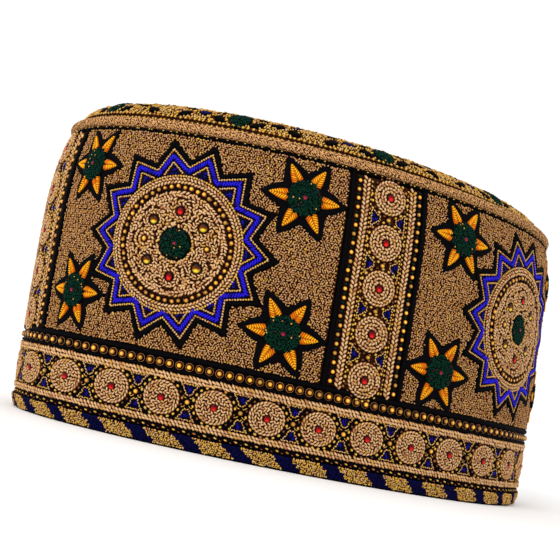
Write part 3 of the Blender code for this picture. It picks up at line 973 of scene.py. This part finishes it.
def drawStrip(drawing, along, form):
    low, high = capForm["panelBottom"] - 0.6, capForm["panelTop"]
    ribbon(drawing, [(along, low), (along, high)], 2 * form["half"], 0.3, 0.6, umber, closed=False,
           section=flatSection)
    size = form["beadSize"] / 2
    for hand in (-1, 1):
        x = along + hand * form["cord"]
        ribbon(drawing, [(x, low), (x, high)], form["cordWidth"], 0.6, 1.1, blackCord, closed=False)
        x = along + hand * form["beadRow"]
        point, way = evenPath([(x, low + 1), (x, high - 1)], form["beadPitch"], False)
        beads = np.column_stack([loose(point[:, 0], 0.12), point[:, 1]])
        stamp(drawing, bead, beads, 1.2, way, (size, size, 0.7 * size), brass)
        stamp(drawing, stitch, point + (0, form["beadPitch"] / 2), 1.0, way, (0.4, 0.7, 0.35), green)
        x = along + hand * form["braid"]
        plait(drawing, "braid", [(x, low + 0.6), (x, high - 0.6)], form["braidWidth"],
              form["braidPitch"], 1.2, closed=False)
        # loose gilt seeds inside the braid
        x = along + hand * form["seedRow"]
        point, way = evenPath([(x, low + 1), (x, high - 1)], form["seedPitch"], False)
        stamp(drawing, stitch, point, 1.1, loose(way, 0.5), (0.5, 0.4, 0.4), gilt)
    for number in range(form["rosettes"]):
        height = form["rosetteLow"] + number * form["rosettePitch"]
        drawRosette(drawing, np.array([along, height]), form)
        if number:
            between = np.array([along, height - form["rosettePitch"] / 2])
            stamp(drawing, bead, between, 1.3, 0.0, (1.05, 0.9, 0.7), brass)
            for hand in (-1, 1):
                drawCorner(drawing, between, form["rosettePitch"] / 2, form, hand, True)


for panel in range(capForm["panels"]):
    replaced = [f"strip_{panel + 1}"]
    replaced += [f"strip_rosette_{panel + 1}_{number + 1}" for number in range(stripForm["rosettes"])]
    makePiece(f"uprightStrip_{panel + 1}", ontoPanel, "strip_stitch", replaced, drawStrip,
              panel * panelWidth, stripForm)


# Frieze: cords, beads and ropes that run right round above the hem

friezeForm = {
    "bottom": 5.3, "top": 28.6, "cords": [(29.4, 2.2), (25.0, 1.3)],           # height and width
    "beadHeight": 26.9, "beadSize": 2.1, "beads": 168, "loopSize": 2.7,
    "ropes": [(23.0, 2.9), (8.3, 2.4)], "ropePitch": 1.3, "seedLine": 6.2, "seedPitch": 3.5,
    "rosettes": 32, "rosetteHeight": 15.75, "shift": -4.68, "squash": 0.9,
    "coilInner": 1.4, "coilOuter": 6.2, "stoneWide": 1.25, "stoneTall": 1.4, "seedRing": 7.05, "seeds": 21,
    "cornerRadius": 8.3, "cornerLow": 2.3, "cornerHigh": 5.8,
}


def drawFriezeLines(drawing, form):
    hoop(drawing, (form["bottom"] + form["top"]) / 2, form["top"] - form["bottom"], 0.3, 0.6, felt,
         flatSection)
    for height, width in form["cords"]:
        hoop(drawing, height, width, 0.5, 1.1, blackCord)
    for height, width in form["ropes"]:
        plait(drawing, "rope", lineAround(height), width, form["ropePitch"], 1.3, closed=False)
    point, way = evenPath(lineAround(form["seedLine"]), form["seedPitch"], False)
    stamp(drawing, stitch, point, 1.15, way - 0.25, (0.75, 0.36, 0.4), gilt)
    stamp(drawing, stitch, point + (form["seedPitch"] / 2, -0.5), 1.1, way - 0.25, (0.6, 0.3, 0.35), seed)
    point, way = evenPath(lineAround(form["beadHeight"]), around / form["beads"], False)
    size = form["beadSize"] / 2
    stamp(drawing, bead, point, 1.3, way, (size, size, 0.8 * size), brass)
    for spot in point:
        ribbon(drawing, circlePath(spot, form["loopSize"] / 2, 10), 0.28, 0.85, 0.25, seed,
               tint=0.8 * chance.random(), step=9)


# A thin thread of chain stitches that crosses beside a bead
def crossThread(drawing, path, pitch=0.8, width=0.4):
    point, way = evenPath(path, pitch, False)
    stamp(drawing, stitch, point, 1.15, way + leftAndRight(len(way), 18), chainSize(pitch, width), gilt)


def drawFriezeRosettes(drawing, form, numbers):
    pitch = around / form["rosettes"]
    for number in numbers:
        along = (number + 0.5) * pitch + form["shift"]
        drawRosette(drawing, np.array([along, form["rosetteHeight"]]), form, form["squash"])
        between = np.array([along + pitch / 2, form["rosetteHeight"]])
        stamp(drawing, bead, between, 1.4, 0.0, (1.05, 1.0, 0.8), brass)
        for hand in (-1, 1):
            drawCorner(drawing, between, pitch / 2, form, hand, False)
            crossThread(drawing, [between + (-1.9, hand * 1.9), between + (-0.6, hand * 1.2)])
            crossThread(drawing, [between + (0.6, hand * 1.2), between + (1.9, hand * 1.9)])


makePiece("friezeLines", ontoFrieze, "frieze_stitch", ["rosette_frieze"], drawFriezeLines, friezeForm)
for part in range(2):
    half = friezeForm["rosettes"] // 2
    makePiece(f"friezeRosettes_{part + 1}", ontoFrieze, "frieze_stitch", (), drawFriezeRosettes,
              friezeForm, range(part * half, part * half + half))


# Ground: chain stitches that wander over each panel, kept off what is laid on it

groundForm = {"pitch": 0.95, "rowPitch": 0.78, "long": 0.66, "wide": 0.33, "high": 0.42, "z": 0.8,
              "roomAtTip": 1.7, "roomAtValley": 1.2}


# Stitches lean one way and the other in turn, in small patches
def patchLean(spots, lean=0.85, patch=(1.9, 1.7)):
    return np.where(np.floor(spots / patch).sum(axis=1) % 2, lean, -lean)


# Spots that are clear of a star's black edge
def besideStar(spots, middle):
    return clearOfStar(spots, middle, starForm["blackTip"] + groundForm["roomAtTip"],
                       starForm["blackValley"] + groundForm["roomAtValley"], starForm["points"])


def drawGround(drawing, panel, form):
    low, high = capForm["panelBottom"] + 0.3, capForm["panelTop"] + 0.1
    left, right = stripForm["half"] + 0.3, panelWidth - stripForm["half"] - 0.3
    column, row = staggered(int((right - left) / form["pitch"]), int((high - low) / form["rowPitch"]))
    x = loose(left + (column + 0.25) * form["pitch"], 0.14)
    y = loose(low + (row + 0.5) * form["rowPitch"], 0.12)
    spots = np.column_stack([x, y])
    onPanel = (panel * panelWidth, 0)
    keep = besideStar(spots, (panelWidth / 2, starForm["height"]))
    for number in range(len(flowerCorners)):
        keep &= clearOfStar(spots + onPanel, flowerMiddle(panel, number), flowerForm["edgeTip"],
                            flowerForm["edgeValley"], flowerForm["petals"])
    spots = spots[keep]
    x, y = spots.T
    turn = loose(patchLean(spots) + 0.8 * np.sin(0.5 * x + 1.3 * np.sin(0.43 * y)), 0.8)
    size = np.column_stack([form["long"] * (0.75 + 0.55 * chance.random(len(x))),
                            form["wide"] * (0.75 + 0.5 * chance.random(len(x))),
                            np.full(len(x), form["high"])])
    stampMixed(drawing, spots + onPanel, loose(form["z"], 0.14, len(x)), turn, size, groundThreads)


for panel in range(capForm["panels"]):
    makePiece(f"groundStitch_{panel + 1}", ontoPanel, "ground_stitch", (), drawGround, panel, groundForm)


# Hem: a rolled edge covered with slanting patches of gold chenille and navy floss

hemForm = {"patches": 34, "goldShare": 0.6, "slant": -1.1, "phase": 69.0, "columns": 240,
           "pitch": 0.74, "rowPitch": 0.62, "rows": 7, "lowRow": 0.95, "lowest": 0.8}
hemSection = np.array([(0.4, 0.5), (0.8, 1.4), (1.35, 3.0), (1.8, 4.6), (1.6, 5.0), (-2.6, 5.0),
                       (-2.6, 1.2), (-1.6, 0.0), (0.0, 0.0)])


# x round the rim, y outward from the foot of the band, z up
def layHem(points):
    angle = ovalAngle(points[:, 0])
    return ovalPoint(angle, bandOutset(angle, 0.0) + points[:, 1], points[:, 2])


def drawHemRoll(drawing, form):
    column, row, faces = gridArrays(form["columns"], len(hemSection))
    outward, height = hemSection[row % len(hemSection)].T
    along = column % form["columns"] * around / form["columns"]
    addShape(drawing, np.column_stack([along, outward, height]), faces,
             np.column_stack([column * around / form["columns"], outward + height]), 0.5, 0.5, navy)


def drawHemStitches(drawing, form):
    patchPitch = around / form["patches"]
    columns = round(around / form["pitch"])
    column, row = staggered(columns, form["rows"])
    x = loose(column * around / columns, 0.14)
    y = np.clip(loose(form["lowRow"] + row * form["rowPitch"], 0.08), form["lowest"], None)
    ragged = chance.normal(0, 0.35, len(row))
    share = np.mod((x + ragged - form["slant"] * (y - 2.6) + form["phase"]) / patchPitch, 1.0)
    gold = share < form["goldShare"]
    spots = np.column_stack([x, y])
    proud = np.interp(y, [0.0, 1.4, 5.0], [0.1, 0.85, 1.7])        # how far out the roll is there
    count = int(gold.sum())
    stampMixed(drawing, spots[gold], loose(proud[gold] + 0.1, 0.14), chance.random(count) * math.pi,
               sizes(count, 0.75, 0.5, (0.52, 0.32, 0.5)), pileThreads)
    stamp(drawing, stitch, spots[~gold], proud[~gold], math.atan2(1, form["slant"]), (0.6, 0.34, 0.3), navy)


makePiece("hemRoll", layHem, "hem_cloth", ["hem_binding"], drawHemRoll, hemForm)
makePiece("hemPatches", ontoBand, "hem_cloth", (), drawHemStitches, hemForm)


# Piping: a roll of twill along the crown seam, and the black cord stitched below it

pipingForm = {"columns": 288, "sides": 12, "cordHeight": 103.6, "cordWidth": 1.0, "seedPitch": 2.9}


# x round the seam, y round the roll in turns, z the roll's radius
def layPiping(points):
    angle = ovalAngle(points[:, 0])
    turn = points[:, 1] * 2 * math.pi
    outset = bandOutset(angle, capForm["bandHeight"]) + capForm["pipingOut"] + points[:, 2] * np.cos(turn)
    return ovalPoint(angle, outset, capForm["pipingHeight"] + points[:, 2] * np.sin(turn))


def drawPiping(drawing, form):
    column, row, faces = gridArrays(form["columns"], form["sides"])
    along = column * around / form["columns"]
    points = np.column_stack([along % around, row % form["sides"] / form["sides"],
                              np.full(len(row), capForm["pipingRadius"])])
    roundRoll = 2 * math.pi * capForm["pipingRadius"] / form["sides"]
    addShape(drawing, points, faces, np.column_stack([along, row * roundRoll]), 0.5, 0.5, twill)


def drawSeamCord(drawing, form):
    hoop(drawing, form["cordHeight"], form["cordWidth"], 0.4, 1.0, blackCord)
    point, way = evenPath(lineAround(form["cordHeight"] + 0.3), form["seedPitch"], False)
    point[:, 0] = loose(point[:, 0], 1.0)
    stamp(drawing, stitch, point, 1.3, way, (0.42, 0.26, 0.26), gilt)


makePiece("pipingRoll", layPiping, "piping_twill", ["top_piping"], drawPiping, pipingForm)
makePiece("seamCord", ontoBand, "ground_stitch", (), drawSeamCord, pipingForm)


# Crown: a padded shell covered with gold chenille, with green flowers and black leaves at its edge

crownForm = {"columns": 240, "rows": 30, "face": 0.3, "inside": -2.0, "pitch": 1.05, "rowPitch": 0.88,
             "edge": 16.5, "crease": 3.0, "fieldFoot": 5.2, "flowers": 10, "firstFlower": -59.0,
             "flowerUp": 8.2, "flowerSize": 4.4, "leafLong": 2.7, "leafWide": 1.05}
# leaves at each side of a flower: how far along, how high, and how they lean
crownLeaves = [(7.4, 6.4, 0.3), (7.8, 10.6, -0.3), (14.6, 8.4, 0.05), (21.4, 6.6, -0.25),
               (21.8, 10.8, 0.25)]


def placeOnCrown(column, row):
    angle = ovalAngle(column * around / crownForm["columns"])
    reach = np.where(row == 0, 1.0, np.cos(row / crownForm["rows"] * math.pi / 2) ** 0.45)
    return ((crownEdge(angle)[:, :2] - crownMiddle[:2]) * reach[:, None]).T


# Gold pile over the spots that are kept
def drawPile(drawing, spots, uneven, size):
    turn = loose(patchLean(spots), 0.5)
    z = loose(0.7, uneven, len(spots))
    stampMixed(drawing, spots, z, turn, sizes(len(spots), 0.8, 0.4, size), pileThreads)


def drawCrownField(drawing, form, half):
    reach = np.abs(edgePlan).max(axis=0)
    pitch = np.array([form["pitch"], form["rowPitch"]])
    column, row = staggered(*(2 * reach / pitch).astype(int))
    spots = loose(np.column_stack([column, row + 0.5]) * pitch - reach, 0.15)
    angle, edge = edgeToward(*spots.T)
    out = np.linalg.norm(spots, axis=1)
    keep = (out < edge * np.interp(form["edge"], crownRuns, crownReaches) + 0.2) & (spots[:, 0] * half >= 0)
    keep &= besideStar(spots, (0, 0))
    drawPile(drawing, spots[keep], 0.1, (0.76, 0.38, 0.5))


def drawCrownEdge(drawing, form):
    # the crease beside the piping: a dark line of cloth, standing as painted shade in the crease, and two
    # rows of seeds
    hoop(drawing, form["crease"] - 1.0, 4.0, 0.1, 0.4, umber)
    for height, finish in ((form["crease"], chenille), (form["crease"] + 1.5, gilt)):
        point, way = evenPath(lineAround(height), 1.9, False)
        spots = np.column_stack([loose(point[:, 0], 0.2), point[:, 1]])
        stamp(drawing, stitch, spots, 0.75, loose(way, 0.4), (0.7, 0.5, 0.5), finish)
        stamp(drawing, stitch, point + (0.95, 0), 0.6, way, (0.5, 0.4, 0.4), seed)
    columns = round(around / form["pitch"])
    column, row = staggered(columns, int((form["edge"] - form["fieldFoot"]) / form["rowPitch"]))
    x = loose(column * around / columns, 0.15)
    y = loose(form["fieldFoot"] + row * form["rowPitch"], 0.1)
    keep = np.ones(len(x), bool)
    leaves = []
    for number in range(form["flowers"]):
        along = form["firstFlower"] + number * around / form["flowers"]
        knots(drawing, np.array([along, form["flowerUp"]]), form["flowerSize"], 0.8, 5)
        keep &= np.hypot(nearest(x - along), y - form["flowerUp"]) > form["flowerSize"]
        leaves += [(along + hand * place, up, hand * lean) for place, up, lean in crownLeaves
                   for hand in (-1, 1)]
    for number, (along, up, lean) in enumerate(leaves):
        tip, side = heading(lean)
        share = np.linspace(-1, 1, 9)
        ridge = np.outer(share * form["leafLong"], tip) + (along, up)
        width = np.outer((1 - share ** 2) * form["leafWide"], side)
        plate(drawing, np.vstack([ridge - width, (ridge + width)[::-1][1:-1]]), np.array([along, up]), 0.2,
              [(1, 0.8), (0.8, 1.1), (0, 1.2)], navy if number % 5 == 4 else blackCord)
        off = np.column_stack([nearest(x - along), y - up])
        forth = off @ tip / (form["leafLong"] + 0.3)
        aside = off @ side / (form["leafWide"] + 0.35)
        keep &= forth ** 2 + aside ** 2 > 1
    drawPile(drawing, np.column_stack([x, y])[keep], 0.14, (0.7, 0.36, 0.5))


makePiece("crownCloth", ontoCrown, "crown_stitch", ["crown"], drawShell, crownForm, placeOnCrown)
for number, half in enumerate((-1, 1)):
    makePiece(f"crownStitch_{number + 1}", ontoCrown, "crown_stitch", (), drawCrownField, crownForm, half)
makePiece("crownEdging", ontoCrownEdge, "crown_stitch", (), drawCrownEdge, crownForm)
makePiece("crownMedallion", ontoCrown, "crown_stitch", (), drawStar, np.zeros(2),
          {**starForm, "discDrop": 0.0})
print("cap pieces made")


# Camera, as the photograph was framed

cameraForm = {"place": (-0.14109, -0.38136, 0.02597), "yaw": -0.360, "aimAside": -11.575,
              "aimHeight": 69.583, "shift": 2.58, "roll": 0.207, "focalPixels": 1000.5,
              "imagePixels": 560, "sensor": 36.0}


def makeCamera(form):
    right = Vector((math.cos(form["yaw"]), math.sin(form["yaw"]), 0))
    target = (right * form["aimAside"] + Vector((form["shift"], 0, form["aimHeight"]))) * mm
    place = Vector(form["place"])
    forward = (target - place).normalized()
    level = forward.cross(Vector((0, 0, 1))).normalized()
    upright = level.cross(forward)
    c, s = math.cos(form["roll"]), math.sin(form["roll"])
    across, up = level * c + upright * s, upright * c - level * s
    data = bpy.data.cameras.new("photoCamera")
    data.sensor_width = form["sensor"]
    data.lens = form["sensor"] * form["focalPixels"] / form["imagePixels"]
    data.clip_start = 0.01
    data.clip_end = 50
    camera = bpy.data.objects.new("photoCamera", data)
    camera.matrix_world = Matrix.Translation(place) @ Matrix((across, up, -forward)).transposed().to_4x4()
    bpy.context.scene.collection.objects.link(camera)
    bpy.context.scene.camera = camera


makeCamera(cameraForm)


# Studio: a pale floor, a white room and two soft lights

studioForm = {"floorSize": 6.0, "floorColours": ("#F8F7F6", "#FAF9F8"), "roomStrength": 1.08,
              "keyPower": 8.0, "keyPlace": (-0.95, -0.75, 0.9), "keySize": 0.6,
              "fillPower": 0.3, "fillPlace": (0.9, -0.7, 0.5), "fillSize": 0.9}


def makeStudio(form):
    bm = bmesh.new()
    bmesh.ops.create_circle(bm, cap_ends=True, segments=64, radius=form["floorSize"])
    mesh = bpy.data.meshes.new("paleFloor")
    bm.to_mesh(mesh)
    bm.free()
    # matt painted board: even and pale, with the faintest mottle
    material = bpy.data.materials.new("paintedBoardMatt")
    material.use_nodes = True
    tree = material.node_tree
    place = addNode(tree, "TexCoord", {}, "Object")
    mottle = addNode(tree, "TexNoise", {"Vector": place, "Scale": 4.0}, "Fac")
    colour = setRamp(addNode(tree, "ValToRGB", {"Fac": mottle}, "Color"),
                     list(zip((0.3, 0.7), form["floorColours"])))
    setInputs(tree, tree.nodes["Principled BSDF"], {"Base Color": colour, "Roughness": 0.9,
                                                    "Specular IOR Level": 0.1})
    mesh.materials.append(material)
    floor = bpy.data.objects.new("paleFloor", mesh)
    bpy.context.scene.collection.objects.link(floor)
    world = bpy.data.worlds.new("whiteRoom")
    world.use_nodes = True
    setInputs(world.node_tree, world.node_tree.nodes["Background"],
              {"Color": (1, 1, 1, 1), "Strength": form["roomStrength"]})
    bpy.context.scene.world = world
    for name in ("key", "fill"):
        light = bpy.data.lights.new(name + "Softbox", "AREA")
        light.energy = form[name + "Power"]
        light.size = form[name + "Size"]
        lamp = bpy.data.objects.new(name + "Softbox", light)
        lamp.location = form[name + "Place"]
        way = Vector((0, 0, 0.06)) - lamp.location
        lamp.rotation_euler = way.to_track_quat("-Z", "Y").to_euler()
        bpy.context.scene.collection.objects.link(lamp)
    bpy.context.scene.view_settings.view_transform = "Standard"


makeStudio(studioForm)
print("camera and studio ready")
